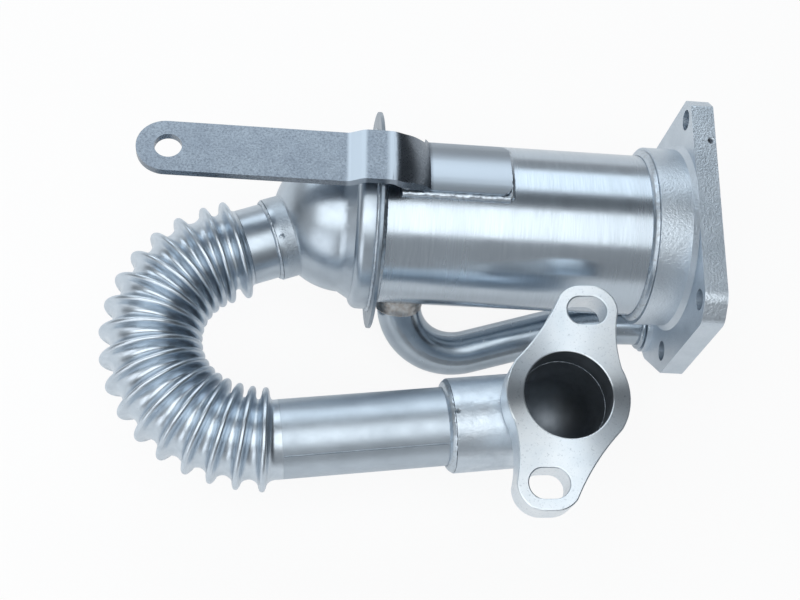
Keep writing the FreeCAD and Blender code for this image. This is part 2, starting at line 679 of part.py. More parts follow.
def strap_side_profile(y):
    """Outline of the strap's section at y: low flat, joggle, high flat and the step to the saddle."""
    low, high = strap_heights()
    saddle_height = math.sqrt((SHELL_OUTER_RADIUS + STRAP_THICKNESS) ** 2 - y ** 2)
    slope = (high - saddle_height) / STEP_RUN
    end_height = SHELL_OUTER_RADIUS - STEP_RUN_ON
    end_x = step_foot_x + (saddle_height - end_height) / slope
    inner = STRAP_BEND_RADIUS
    outer = STRAP_BEND_RADIUS + STRAP_THICKNESS
    line = [(strap_end_x, low, 0, 0), (joggle_far_x, low, inner, outer),
            (joggle_near_x, high, outer, inner), (step_top_x, high, outer, inner),
            (end_x, end_height, 0, 0)]
    below = []
    for i in range(len(line)):
        downs = []
        for first, second in ((i - 1, i), (i, i + 1)):
            if first >= 0 and second < len(line):
                run = V(line[second][0] - line[first][0], line[second][1] - line[first][1], 0)
                run.normalize()
                downs.append(V(run.y, -run.x, 0))
        down = (downs[0] + downs[-1]) * (STRAP_THICKNESS / (1 + downs[0].dot(downs[-1])))
        below.append((line[i][0] + down.x, line[i][1] + down.y, line[i][3]))
    above = [(x, height, radius) for x, height, radius, other in line]
    return rounded_outline(above + below[::-1], lambda x, height: V(x, y, height))


def strap_plan():
    """Plan view of the strap, from the round end to the edges of the saddle."""
    half = STRAP_WIDTH / 2
    outer = SHELL_OUTER_RADIUS + STRAP_THICKNESS
    low_edge = outer * math.sin(math.radians(SADDLE_LOW_ANGLE - STRAP_TURN))
    high_edge = outer * math.sin(math.radians(SADDLE_HIGH_ANGLE - STRAP_TURN))
    end_radius = half - SLIP_CLEARANCE
    notch_radius = SADDLE_CORNER_RADIUS / 3
    corners = [
        (strap_end_x, -half, end_radius),
        (step_top_x + STEP_EASE, -half, STRAP_EDGE_BLEND),
        (step_foot_x - STEP_EASE, low_edge, 0.75 * STRAP_EDGE_BLEND),
        (saddle_end_x, low_edge, SADDLE_CORNER_RADIUS),
        (saddle_end_x, high_edge, SADDLE_CORNER_RADIUS),
        (step_foot_x - STEP_EASE, high_edge, notch_radius),
        (step_foot_x - STEP_EASE, half + STEP_WIDENING, notch_radius),
        (step_top_x + STEP_EASE, half, STRAP_EDGE_BLEND),
        (strap_end_x, half, end_radius),
    ]
    outline = rounded_outline(corners, lambda x, y: V(x, y, 0))
    return Part.Face(outline).extrude(V(0, 0, 2 * HEADER_RADIUS))


def make_mounting_strap():
    outline = strap_turned(strap_plan())
    sections = [strap_side_profile(STRAP_WIDTH * share) for share in (-0.6, -0.3, 0, 0.3, 0.6, 0.9)]
    bar = strap_turned(Part.makeLoft(sections, True, False))
    jacket = round_bar(V(strap_end_x, 0, 0), x_axis, SHELL_OUTER_RADIUS, -strap_end_x)
    start_x = step_foot_x - 1.0
    saddle = ring(V(start_x, 0, 0), x_axis, SHELL_OUTER_RADIUS + STRAP_THICKNESS,
                  SHELL_OUTER_RADIUS, -start_x)
    strap = bar.common(outline).cut(jacket).fuse(saddle.common(outline)).removeSplitter()
    hole = strap_turned(round_bar(V(strap_hole_x, 0, 0), z_axis, STRAP_HOLE_RADIUS,
                                  2 * HEADER_RADIUS))
    return strap.cut(hole)


# Weld beads
def fillet_ring(place, axis, radius, leg_out, leg_along):
    """Bead of triangular section round a bar, its back on a face at place."""
    side = V(0, 0, 1) if abs(axis.z) < 0.5 else V(0, 1, 0)
    out = axis.cross(side).normalize()
    points = [place + out * radius, place + out * (radius + leg_out),
              place + out * (radius + WELD_BULGE * leg_out) + axis * (WELD_BULGE * leg_along),
              place + out * radius + axis * leg_along]
    return revolved(points, place, axis)


def make_collar_weld():
    return fillet_ring(V(collar_end_x, 0, 0), x_axis * -1, SHELL_OUTER_RADIUS, WELD_LEG, WELD_LEG)


def make_header_weld():
    return fillet_ring(V(shell_start_x, 0, 0), x_axis, SHELL_OUTER_RADIUS, 0.75 * WELD_LEG, WELD_LEG)


def make_dome_weld():
    return fillet_ring(V(header_far_x, 0, 0), x_axis * -1, SKIRT_RADIUS, 0.5 * WELD_LEG,
                       0.5 * WELD_LEG)


def make_cuff_weld():
    point, angle = route_frame(CUFF_REACH)
    return fillet_ring(point, heading(angle), PIPE_RADIUS, CUFF_WALL, 0.6 * WELD_LEG)


def make_socket_weld():
    start = elbow_corner - heading(elbow_heading) * SOCKET_LENGTH
    return fillet_ring(start, heading(elbow_heading + 180), PIPE_RADIUS,
                       ELBOW_RADIUS - PIPE_RADIUS, WELD_LEG)


def make_oval_weld():
    place = elbow_corner + z_axis * oval_back_z
    bead = fillet_ring(place, z_axis * -1, ELBOW_RADIUS, WELD_LEG, WELD_LEG)
    level = round_bar(elbow_corner, heading(elbow_heading + 180), ELBOW_RADIUS, SOCKET_LENGTH)
    return bead.cut(level)


def make_strap_weld(strap):
    """Beads along the saddle's two long edges and its end."""
    length = saddle_end_x - step_foot_x
    beads = []
    low_angle = SADDLE_LOW_ANGLE - STRAP_WELD_GAP_ANGLE
    high_angle = SADDLE_HIGH_ANGLE + STRAP_WELD_GAP_ANGLE
    for angle, run in ((low_angle, length + STRAP_WELD_RUN_ON), (high_angle, length)):
        turn = math.radians(angle)
        centre = V(saddle_end_x - run, SHELL_OUTER_RADIUS * math.sin(turn),
                   SHELL_OUTER_RADIUS * math.cos(turn))
        beads.append(round_bar(centre, x_axis, STRAP_WELD_RADIUS, run))
    section = Part.Face(Part.Wire(Part.makeCircle(
        STRAP_WELD_RADIUS, V(saddle_end_x, 0, SHELL_OUTER_RADIUS), V(0, 1, 0))))
    section.rotate(origin, x_axis, -low_angle)
    end_bead = section.revolve(origin, x_axis * -1, high_angle - low_angle)
    jacket = round_bar(V(shell_start_x, 0, 0), x_axis, SHELL_OUTER_RADIUS,
                       shell_end_x - shell_start_x)
    return beads[0].fuse([beads[1], end_bead]).cut(jacket).cut(strap)


def build():
    strap = make_mounting_strap()
    header_weld = make_header_weld()
    nodes = {
        "square_flange": make_square_flange(),
        "shell": make_shell(),
        "inlet_header_plate": make_inlet_header_plate(),
        "outlet_tube_sheet": make_outlet_tube_sheet(),
        "inlet_dome": make_inlet_dome(),
        "neck_pipe": make_neck_pipe(),
        "bellows": make_bellows(),
        "lower_pipe": make_lower_pipe(),
        "elbow": make_elbow(),
        "oval_flange": make_oval_flange(),
        "coolant_pipe": make_coolant_pipe(),
        "coolant_nozzle_braze": make_coolant_nozzle_braze(header_weld),
        "mounting_strap": strap,
        "collar_weld": make_collar_weld(),
        "header_weld": header_weld,
        "dome_weld": make_dome_weld(),
        "cuff_weld": make_cuff_weld(),
        "socket_weld": make_socket_weld(),
        "oval_weld": make_oval_weld(),
        "strap_weld": make_strap_weld(strap),
    }
    for number, (y, z) in enumerate(bundle_places(), start=1):
        nodes["gas_tube_%02d" % number] = make_gas_tube(y, z)
    for index in range(BAFFLE_COUNT):
        nodes["baffle_%d" % (index + 1)] = make_baffle(index)
    return nodes


def main():
    os.makedirs("parts", exist_ok=True)
    for name, shape in build().items():
        shape.exportStep("parts/%s.step" % name)
        print("%-22s solids %d valid %s volume %.1f" % (
            name, len(shape.Solids), shape.isValid(), shape.Volume))


main()
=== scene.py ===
# %% [markdown]
# # A cooler for hot exhaust gas
#
# The part in the photograph is welded together from steel tubes, pressings and two flanges. Gas comes in
# through the oval flange, runs up a bellows into a dome and then through a bundle of tubes. Water runs
# round those tubes inside the round jacket.
#
# The frame gives every solid at its real size, so this lesson adds only what a solid model leaves out:
# soft edges, rolled folds, rough weld beads, and the way each kind of steel takes light.

# %% Load the frame
import math

import bmesh
import bpy
from mathutils import Matrix, Vector, noise


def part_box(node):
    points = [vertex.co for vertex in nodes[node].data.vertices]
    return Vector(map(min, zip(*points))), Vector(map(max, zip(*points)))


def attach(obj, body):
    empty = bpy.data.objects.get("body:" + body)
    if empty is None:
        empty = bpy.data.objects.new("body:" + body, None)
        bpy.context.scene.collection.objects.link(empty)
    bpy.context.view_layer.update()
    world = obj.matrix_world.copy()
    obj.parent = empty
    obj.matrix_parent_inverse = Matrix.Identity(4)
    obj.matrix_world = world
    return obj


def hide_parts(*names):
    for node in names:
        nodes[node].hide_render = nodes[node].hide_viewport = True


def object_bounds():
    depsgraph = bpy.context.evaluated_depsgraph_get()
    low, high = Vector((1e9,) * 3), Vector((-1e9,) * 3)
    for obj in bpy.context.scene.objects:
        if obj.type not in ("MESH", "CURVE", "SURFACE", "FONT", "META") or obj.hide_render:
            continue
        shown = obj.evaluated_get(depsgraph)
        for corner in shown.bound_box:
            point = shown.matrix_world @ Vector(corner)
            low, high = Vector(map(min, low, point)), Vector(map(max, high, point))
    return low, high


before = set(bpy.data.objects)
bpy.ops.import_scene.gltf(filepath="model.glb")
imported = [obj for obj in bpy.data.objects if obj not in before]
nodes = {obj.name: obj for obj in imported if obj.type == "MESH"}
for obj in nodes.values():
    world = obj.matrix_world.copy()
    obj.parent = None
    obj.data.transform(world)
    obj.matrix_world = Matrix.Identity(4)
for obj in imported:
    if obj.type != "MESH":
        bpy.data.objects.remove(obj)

MM = 0.001
solid_low, solid_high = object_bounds()
print("nodes", len(nodes), "box", [round(high - low, 4) for low, high in zip(solid_low, solid_high)])

# %% [markdown]
# ## Working on a copy of a solid
#
# A solid arrives as loose triangles with knife edges, and real castings and pressings have none. The copy
# is welded together first, its flat areas are merged, and then each sharp edge gets a small rounding.
# Modelling each flange again from its outline would also work, but the copy keeps every hole in place.
# Weighted normals keep the flats flat while the thin roundings catch the light.

# %% Copy a node's mesh and turn a mesh into a piece
JOIN_DISTANCE = 0.002 * MM
FLAT_ANGLE = math.radians(0.4)


def merged_copy(node_name):
    """Mesh data of a node with its shared corners joined and its flat areas merged."""
    work = bmesh.new()
    work.from_mesh(nodes[node_name].data)
    bmesh.ops.remove_doubles(work, verts=work.verts, dist=JOIN_DISTANCE)
    bmesh.ops.dissolve_degenerate(work, edges=work.edges, dist=JOIN_DISTANCE)
    bmesh.ops.dissolve_limit(work, angle_limit=FLAT_ANGLE, verts=work.verts, edges=work.edges)
    bmesh.ops.recalc_face_normals(work, faces=work.faces)
    return work


def new_piece(name, work, node_names, smooth_angle=38.0):
    """Turn mesh data into a piece that stands for some nodes. Edges past the angle stay crisp."""
    for face in work.faces:
        face.smooth = True
    for edge in work.edges:
        edge.smooth = len(edge.link_faces) == 2 and edge.calc_face_angle() < math.radians(smooth_angle)
    mesh = bpy.data.meshes.new(name)
    work.to_mesh(mesh)
    work.free()
    piece = bpy.data.objects.new(name, mesh)
    bpy.context.scene.collection.objects.link(piece)
    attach(piece, "root")
    if node_names:
        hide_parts(*node_names)
    print(name, len(mesh.polygons), "faces")
    return piece


# %% Round the sharp edges of a copy
NORMAL_WEIGHT = 60


def weigh_normals(piece):
    modifier = piece.modifiers.new("flat faces", "WEIGHTED_NORMAL")
    modifier.keep_sharp = True
    modifier.weight = NORMAL_WEIGHT


def softened(node_name, width, sharp_angle=40.0, segments=2, reshape=None):
    """Copy of a node with its sharp edges rounded by a width in millimetres.

    A reshape function may move corners of the copy first. It gives back the edges that stay sharp.
    """
    work = merged_copy(node_name)
    kept_sharp = reshape(work) if reshape else set()
    sharp = [edge for edge in work.edges
             if len(edge.link_faces) == 2 and edge.calc_face_angle() > math.radians(sharp_angle)
             and edge not in kept_sharp]
    if sharp:
        bmesh.ops.bevel(work, geom=sharp, offset=width * MM, offset_type="OFFSET", segments=segments,
                        profile=0.5, affect="EDGES", material=-1, clamp_overlap=True)
    piece = new_piece(node_name + "_body", work, [node_name])
    weigh_normals(piece)
    return piece


print("flat areas merge below", round(math.degrees(FLAT_ANGLE), 2), "degrees")

# %% [markdown]
# ## Where the elbow meets the oval flange
#
# In the solids the elbow's upright bore is a little narrower than the flange's, so a thin ring of the
# elbow would show inside. In the photograph the passage looks smooth. Only the corners of that rim have
# to move, so they are drawn outwards in the copy, and the rim's edges are left out of the rounding.

# %% Draw the elbow's rim out to the flange's bore
ELBOW_CORNER = Vector((-50.571, -65.414, 0.0)) * MM
ELBOW_BORE = 13.1 * MM
FLANGE_BORE = 13.62 * MM
RIM_DEPTH = 0.05 * MM
RIM_MARGIN = 0.2 * MM


def meet_flange_bore(work):
    """Move the upper rim of the elbow's bore, and give back its edges."""
    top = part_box("elbow")[1].z
    rim = set()
    for corner in work.verts:
        off_axis = (corner.co - ELBOW_CORNER) * Vector((1.0, 1.0, 0.0))
        if abs(corner.co.z - top) < RIM_DEPTH and off_axis.length < ELBOW_BORE + RIM_MARGIN:
            corner.co += off_axis.normalized() * (FLANGE_BORE - off_axis.length)
            rim.add(corner)
    print("elbow rim corners", len(rim))
    return {edge for edge in work.edges if all(corner in rim for corner in edge.verts)}


# %% [markdown]
# ## The strap's step
#
# The press laid the strap down on the jacket in one long round. The solid has a short arc there and then
# a straight slope. Modelling the strap anew would risk its hole and its saddle, so the copy is cut into
# narrow strips by `bmesh.ops.bisect_plane`, and the corners between them are lifted on to the round.
# Both ends of the step stay where they are.

# %% Draw the strap's step out into a long round
STEP_START_X = -107.0 * MM
STEP_END_X = -93.4 * MM
STEP_DROP = 9.24 * MM
STEP_CUTS = 17
STEP_ROUNDNESS = 1.8
CUT_DISTANCE = 0.001 * MM
ARC_SHARE = 0.3
ARC_STEEPNESS = 1.834
SLOPE_STEEPNESS = 1.192
SLOPE_SHIFT = 0.1926


def solid_drop(share):
    """How far the solid has fallen at a share of the step's run, as a share of the whole drop."""
    return ARC_STEEPNESS * share ** 2 if share < ARC_SHARE else SLOPE_STEEPNESS * share - SLOPE_SHIFT


def round_step(work):
    """Cut the step into strips and lift their corners. No edge has to stay sharp."""
    run = STEP_END_X - STEP_START_X
    for cut in range(STEP_CUTS + 1):
        bmesh.ops.bisect_plane(work, geom=work.verts[:] + work.edges[:] + work.faces[:], dist=CUT_DISTANCE,
                               plane_co=(STEP_START_X + run * cut / STEP_CUTS, 0, 0), plane_no=(1, 0, 0))
    highest = 0.0
    for corner in work.verts:
        share = (corner.co.x - STEP_START_X) / run
        if 0.0 < share < 1.0:
            lift = STEP_DROP * max(solid_drop(share) - share ** STEP_ROUNDNESS, 0.0)
            corner.co.z += lift
            highest = max(highest, lift)
    print("strap's step lifted by up to", round(highest / MM, 2), "mm")
    return set()


# %% [markdown]
# ## Flanges, plate, dome, strap and tubes
#
# The square flange is a casting, so its edges are the roundest. The oval flange and the strap are stamped
# and then cleaned, which leaves a narrow bright edge. The header plate is a thin dull disc that stands out
# between the jacket and the dome. The ends of the tubes are cut square and only lose their burr. A wide
# angle on the strap, the elbow and the coolant pipe keeps the rounding off their bends.

# %% Soften the solids
square_flange = softened("square_flange", 0.55, segments=3)
oval_flange = softened("oval_flange", 0.5, segments=3)
mounting_strap = softened("mounting_strap", 0.35, sharp_angle=55.0, reshape=round_step)
header_plate = softened("inlet_header_plate", 0.25)
inlet_dome = softened("inlet_dome", 0.22)
elbow = softened("elbow", 0.45, sharp_angle=60.0, reshape=meet_flange_bore)
shell = softened("shell", 0.2)
neck_pipe = softened("neck_pipe", 0.15)
lower_pipe = softened("lower_pipe", 0.15)
coolant_pipe = softened("coolant_pipe", 0.15, sharp_angle=50.0)

# %% [markdown]
# ## The gas line that the bellows follows
#
# The pipe leaves the dome at an angle, runs straight for a short way and then turns through two bends of
# different radius. The bellows lies on those bends, with a plain stretch at its far end. The route is a
# function of the distance from the dome's centre, so that any fold can ask where it belongs.

# %% Measure the route of the gas line
NECK_ANGLE = math.radians(200.9)
DOME_CENTRE = Vector((-118.0, 0.0, 0.0)) * MM
BEND_START = 43.2 * MM
BENDS = ((31.0 * MM, math.radians(134.1)), (44.0 * MM, math.radians(32.2)))
BELLOWS_START = 35.05 * MM
BELLOWS_TAIL = 2.0 * MM
BELLOWS_END_RUN = 0.1 * MM
FOLD_COUNT = 17
Z_UP = Vector((0.0, 0.0, 1.0))


def heading(angle):
    return Vector((math.cos(angle), math.sin(angle), 0.0))


def route(distance):
    """Point and direction on the gas line at a distance from the dome's centre."""
    point = DOME_CENTRE + heading(NECK_ANGLE) * min(distance, BEND_START)
    angle = NECK_ANGLE
    left = max(distance - BEND_START, 0.0)
    for radius, full_turn in BENDS:
        turn = min(left / radius, full_turn)
        side = heading(angle + math.pi / 2) * radius
        point = point + side - heading(angle + turn + math.pi / 2) * radius
        angle += turn
        left -= turn * radius
    return point + heading(angle) * max(left, 0.0), angle


bends_end = BEND_START + sum(radius * turn for radius, turn in BENDS)
bellows_end = bends_end + BELLOWS_END_RUN
pitch = (bellows_end - BELLOWS_TAIL - BELLOWS_START) / FOLD_COUNT
print("pitch", round(pitch / MM, 3), "mm, length", round((bellows_end - BELLOWS_START) / MM, 2), "mm")

# %% [markdown]
# ## The section of the folds
#
# A bellows is a thin tube that was rolled and pressed into folds, so its crests are small round lips and
# its valleys are wide. The solid has straight-sided rings instead. Here the section of all the folds is
# drawn once along a straight line, outside and inside: half a valley, a crest and half a valley, again
# and again. The inner line is the same one moved inwards by the wall's thickness.

# %% Draw the section along a straight line
FOLD_STEPS = 6
WALL = 0.4 * MM
TUBE_RADIUS = 12.4 * MM
CREST_TOP = 16.2 * MM
CREST_ROUND = 0.95 * MM
VALLEY_CENTRE_RADIUS = 15.0 * MM
VALLEY_HALF_WIDTH = 1.9 * MM


def fold_section(inset):
    """One fold from valley to valley, as places along the axis and radii."""
    crest_centre = CREST_TOP - CREST_ROUND
    crest = CREST_ROUND - inset
    half_width = VALLEY_HALF_WIDTH + inset
    depth = VALLEY_CENTRE_RADIUS - TUBE_RADIUS + inset
    half = []
    for step in range(FOLD_STEPS):
        turn = math.pi / 2 * (1 - step / (FOLD_STEPS - 1))
        half.append((-pitch / 2 + half_width * math.cos(turn), VALLEY_CENTRE_RADIUS - depth * math.sin(turn)))
    for step in range(FOLD_STEPS):
        turn = math.pi / 2 * step / (FOLD_STEPS - 1)
        half.append((-crest * math.cos(turn), crest_centre + crest * math.sin(turn)))
    return half + [(-along, radius) for along, radius in reversed(half[:-1])]


def straight_line(inset):
    """The whole tube's section: every fold in turn, with a short plain stretch at the far end."""
    line = []
    section = fold_section(inset)
    for number in range(FOLD_COUNT):
        middle = (number + 0.5) * pitch
        line += [(middle + along, radius) for along, radius in (section if number == 0 else section[1:])]
    return line + [(bellows_end - BELLOWS_START, TUBE_RADIUS - inset)]


print("section of", len(straight_line(0.0)), "points outside")

# %% [markdown]
# ## Bending the bellows
#
# A real bellows bends in its valleys while each crest stays flat and round. So every point is carried by
# its own fold, and near a valley also by the neighbour, with a smooth change from one to the other. A
# curve modifier would shear the crests on a bend this tight.

# %% Carry a point of the straight tube round the bend
fold_places = [route(BELLOWS_START + (number + 0.5) * pitch) for number in range(FOLD_COUNT)]
tail_place = route(bellows_end)


def smoothstep(value):
    value = min(max(value, 0.0), 1.0)
    return value * value * (3 - 2 * value)


def carried(number, along, across, height):
    """Where a fold takes a point that lies along its axis and across it."""
    if number < FOLD_COUNT:
        point, angle = fold_places[number]
        middle = (number + 0.5) * pitch
    else:
        point, angle = tail_place
        middle = bellows_end - BELLOWS_START
    return point + heading(angle) * (along - middle) + heading(angle + math.pi / 2) * across + Z_UP * height


def bent(place):
    """The same point on the bent tube, shared between its own fold and the nearer neighbour."""
    number = min(int(place.x / pitch), FOLD_COUNT - 1)
    offset = place.x - (number + 0.5) * pitch
    reach = (abs(offset) - CREST_ROUND) / (pitch / 2 - CREST_ROUND)
    share = 0.5 * smoothstep(reach)
    neighbour = number + (1 if offset > 0 else -1)
    own = carried(number, place.x, place.y, place.z)
    if neighbour < 0:
        return own
    if place.x > FOLD_COUNT * pitch:
        share = 0.5 + 0.5 * smoothstep((place.x - FOLD_COUNT * pitch) / BELLOWS_TAIL)
        own = carried(FOLD_COUNT - 1, place.x, place.y, place.z)
        neighbour = FOLD_COUNT
    return own.lerp(carried(neighbour, place.x, place.y, place.z), share)


print("last fold heads", round(math.degrees(fold_places[-1][1]) - 360.0, 1), "degrees from X")

# %% [markdown]
# ## The bellows
#
# The closed section is turned into a tube by `bmesh.ops.spin`, and then each corner of the straight tube
# is carried round the bend. Spinning first keeps every ring whole.

# %% Spin the section and bend the tube
FOLD_SEGMENTS = 104


def bellows_tube():
    work = bmesh.new()
    outline = straight_line(0.0) + straight_line(WALL)[::-1]
    corners = [work.verts.new((along, radius, 0.0)) for along, radius in outline]
    edges = [work.edges.new((corners[i - 1], corners[i])) for i in range(len(corners))]
    bmesh.ops.spin(work, geom=corners + edges, cent=(0, 0, 0), axis=(1, 0, 0), angle=2 * math.pi,
                   steps=FOLD_SEGMENTS, use_merge=True)
    bmesh.ops.recalc_face_normals(work, faces=work.faces)
    for corner in work.verts:
        corner.co = bent(corner.co.copy())
    return work


bellows = new_piece("bellows_folds", bellows_tube(), ["bellows"], smooth_angle=80.0)

# %% [markdown]
# ## Weld beads
#
# A hand-laid bead is a row of small overlapping ripples, and no two are the same height. Each bead solid
# is remeshed into small even faces first, so that it can be pushed about. A coarse noise makes the
# ripples, and a finer one roughens them. Texture alone would leave a straight silhouette.

# %% Give a bead small even faces
BEAD_VOXEL = 0.28 * MM


def remeshed(work, name, voxel):
    """Even small faces over a closed shape."""
    mesh = bpy.data.meshes.new(name)
    work.to_mesh(mesh)
    work.free()
    holder = bpy.data.objects.new(name, mesh)
    bpy.context.scene.collection.objects.link(holder)
    modifier = holder.modifiers.new("even faces", "REMESH")
    modifier.mode = "VOXEL"
    modifier.voxel_size = voxel
    evaluated = holder.evaluated_get(bpy.context.evaluated_depsgraph_get())
    result = bmesh.new()
    result.from_mesh(evaluated.to_mesh())
    bpy.data.objects.remove(holder)
    bpy.data.meshes.remove(mesh)
    return result


# %% Roughen the beads
COARSE_WAVES = 900
FINE_WAVES = 2600
FINE_SHIFT = Vector((3.1, 0.7, 5.9))
COARSE_SHARE = 0.62
FINE_SHARE = 0.3
BEAD_SINK = 0.25
BEADS = {
    # node: finish and slot, height of the ripples in millimetres, how close they follow each other
    "collar_weld": ("weld", 0.08, 0.8),
    "header_weld": ("weld", 0.26, 1.0),
    "dome_weld": ("weld", 0.12, 1.0),
    "cuff_weld": ("weld", 0.16, 0.8),
    "socket_weld": ("weld", 0.12, 0.6),
    "oval_weld": ("weld", 0.24, 0.8),
    "strap_weld": ("weld", 0.2, 0.8),
    "coolant_nozzle_braze": ("braze", 0.16, 0.8),
}


def bead(node_name, slot_name, rise, ripple):
    """Rough bead that stands for one bead solid."""
    work = remeshed(merged_copy(node_name), node_name + "_even", BEAD_VOXEL)
    work.normal_update()
    moves = []
    for corner in work.verts:
        coarse = noise.noise(corner.co * (COARSE_WAVES * ripple))
        fine = noise.noise(corner.co * FINE_WAVES + FINE_SHIFT)
        moves.append(corner.normal * ((COARSE_SHARE * coarse + FINE_SHARE * fine - BEAD_SINK) * rise * MM))
    for corner, move in zip(work.verts, moves):
        corner.co += move
    return new_piece(node_name + "_bead", work, [node_name], smooth_angle=70.0)


beads = {name: bead(name, *values) for name, values in BEADS.items()}

# %% [markdown]
# ## The pipe's seam
#
# The lower pipe was rolled from strip, and its seam shows as a low, slightly uneven ridge. It is a thin
# round bar, grown step by step along the pipe and let into its wall, so that only its top stands out.

# %% Lay the seam on the lower pipe
LOWER_HEADING = math.radians(7.2)
SEAM_START = -86.0 * MM
SEAM_END = -35.6 * MM
SEAM_TURN = math.radians(-40.8)
SEAM_HALF_WIDTH = 0.42 * MM
SEAM_SINK = 0.29 * MM
SEAM_SIDES = 12
SEAM_STEPS = 60
SEAM_WANDER = 0.08 * MM
SEAM_WAVES = 260


def seam_ridge():
    """Thin round bar let into the pipe's wall, with a wandering height."""
    work = bmesh.new()
    bmesh.ops.create_circle(work, cap_ends=True, segments=SEAM_SIDES, radius=SEAM_HALF_WIDTH)
    length = SEAM_END - SEAM_START
    end = work.edges[:]
    for step in range(SEAM_STEPS):
        grown = bmesh.ops.extrude_edge_only(work, edges=end)["geom"]
        end = [part for part in grown if isinstance(part, bmesh.types.BMEdge)]
        corners = [part for part in grown if isinstance(part, bmesh.types.BMVert)]
        bmesh.ops.translate(work, verts=corners, vec=(0.0, 0.0, length / SEAM_STEPS))
    bmesh.ops.holes_fill(work, edges=end, sides=SEAM_SIDES)
    side = heading(LOWER_HEADING + math.pi / 2)
    out = side * math.sin(SEAM_TURN) + Z_UP * math.cos(SEAM_TURN)
    along = heading(LOWER_HEADING)
    turn = Matrix((out.cross(along), out, along)).transposed()
    start = ELBOW_CORNER + along * SEAM_START + out * (TUBE_RADIUS - SEAM_SINK)
    for corner in work.verts:
        wander = SEAM_WANDER * noise.noise(Vector((0.0, 0.0, corner.co.z * SEAM_WAVES)))
        corner.co = start + turn @ corner.co + out * wander
    bmesh.ops.recalc_face_normals(work, faces=work.faces)
    return work


seam = new_piece("pipe_seam", seam_ridge(), [])

# %% [markdown]
# ## The pip on the cuff
#
# A pip of weld metal sits on the cuff where the bead was started. It is a ball with uneven sides, pressed
# flat, and its lower half is sunk into the cuff.

# %% Set the pip on the cuff
PIP_PLACE = Vector((-138.88, -13.15, 12.66)) * MM
PIP_RADIUS = 0.9 * MM
PIP_DIVISIONS = 4
PIP_ROUGHNESS = 0.6
PIP_WAVES = 1300
PIP_FLATNESS = 0.38


def weld_pip():
    work = bmesh.new()
    bmesh.ops.create_icosphere(work, subdivisions=PIP_DIVISIONS, radius=PIP_RADIUS)
    for corner in work.verts:
        corner.co *= 1.0 + PIP_ROUGHNESS * noise.noise(corner.co * PIP_WAVES)
        corner.co.z *= PIP_FLATNESS
    bmesh.ops.translate(work, verts=work.verts, vec=PIP_PLACE)
    return work


pip = new_piece("cuff_pip", weld_pip(), [])

# %% [markdown]
# ## Inside the gas passage
#
# The passage lies in shade, so the inner faces of the elbow and of the oval flange get a darker finish of
# their own, as painted shade. A face is an inner one when all its corners lie close to the centre line,
# which runs down through the flange to the elbow's corner and back along the socket, and when it looks
# towards it. Only the flange's outer rim stays bright.

# %% Mark the faces of the gas passage
PASSAGE_REACH = 14.3 * MM
BRIGHT_RIM = 1.0 * MM
BRIGHT_RIM_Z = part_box("oval_flange")[1].z - BRIGHT_RIM
RIM_FACING = -0.9
INNER_FACING = 0.1


def off_centre_line(point):
    """Shortest way from the gas line's centre to a point, as a vector."""
    offset = point - ELBOW_CORNER
    back = heading(LOWER_HEADING + math.pi)
    upright = Vector((0.0, 0.0, max(offset.z, 0.0)))
    level = back * max(offset.dot(back), 0.0)
    return min(offset - upright, offset - level, key=lambda away: away.length)


def mark_inner_faces(piece):
    """Second material slot for the faces of the gas passage."""
    corners = piece.data.vertices
    marked = 0
    for face in piece.data.polygons:
        near_line = all(off_centre_line(corners[index].co).length < PASSAGE_REACH for index in face.vertices)
        facing = face.normal.dot(off_centre_line(face.center).normalized())
        if near_line and facing < (RIM_FACING if face.center.z > BRIGHT_RIM_Z else INNER_FACING):
            face.material_index = 1
            marked += 1
    print(piece.name, marked, "faces of the passage")


# The marked faces take the painted shade of the passage.
mark_inner_faces(elbow)
mark_inner_faces(oval_flange)

# %% [markdown]
# ## Node helpers
#
# The finishes, the studio and the floor are all built from the same few nodes. A small class holds a node
# tree and adds the nodes that map a number, do sums and mix colours, so that each look below reads as a
# short recipe. Wiring the nodes by hand in the editor gives the same result, but it can't be read as text.

# %% The everyday nodes of a look
class Look:
    """A node tree and the nodes that most looks share. A value is a number, a tuple or an output."""

    def __init__(self, tree):
        self.tree = tree

    def add(self, kind):
        return self.tree.nodes.new("ShaderNode" + kind)

    def join(self, output, socket):
        self.tree.links.new(output, socket)

    def feed(self, node, values):
        for socket, value in zip(node.inputs, values):
            if isinstance(value, (int, float, tuple)):
                socket.default_value = value
            else:
                self.join(value, socket)

    def ranged(self, value, low, high, start=0.3, end=0.7, kind="LINEAR"):
        """Map a value from start and end to low and high, and no further."""
        node = self.add("MapRange")
        node.interpolation_type = kind
        self.feed(node, (value, start, end, low, high))
        return node.outputs["Result"]

    def math(self, operation, *values):
        node = self.add("Math")
        node.operation = operation
        self.feed(node, values)
        return node.outputs["Value"]

    def vector_math(self, operation, *values, result="Vector"):
        node = self.add("VectorMath")
        node.operation = operation
        self.feed(node, values)
        return node.outputs[result]

    def parts(self, vector):
        """The outputs X, Y and Z of a vector."""
        node = self.add("SeparateXYZ")
        self.feed(node, (vector,))
        return node.outputs

    def blend(self, share, first, second):
        """Colour between two, each a tuple or an output."""
        node = self.add("Mix")
        node.data_type = "RGBA"
        self.join(share, node.inputs["Factor"])
        for socket, value in ((node.inputs[6], first), (node.inputs[7], second)):
            if isinstance(value, tuple):
                socket.default_value = (*value, 1.0)
            else:
                self.join(value, socket)
        return node.outputs[2]


print("nodes of a look:", ", ".join(name for name in vars(Look) if not name.startswith("_")))

# %% [markdown]
# ## Grain, marks and bumps
#
# Every piece is metal, and what differs is its grain. Noise is read in the object's own coordinates, so
# grain keeps its size in millimetres on every piece. A stretched noise gives the fine lines that a brush
# or a die leaves along one direction, and a soft ball about a place gives a mark. An image would need its
# own unwrapping and would blur close up.

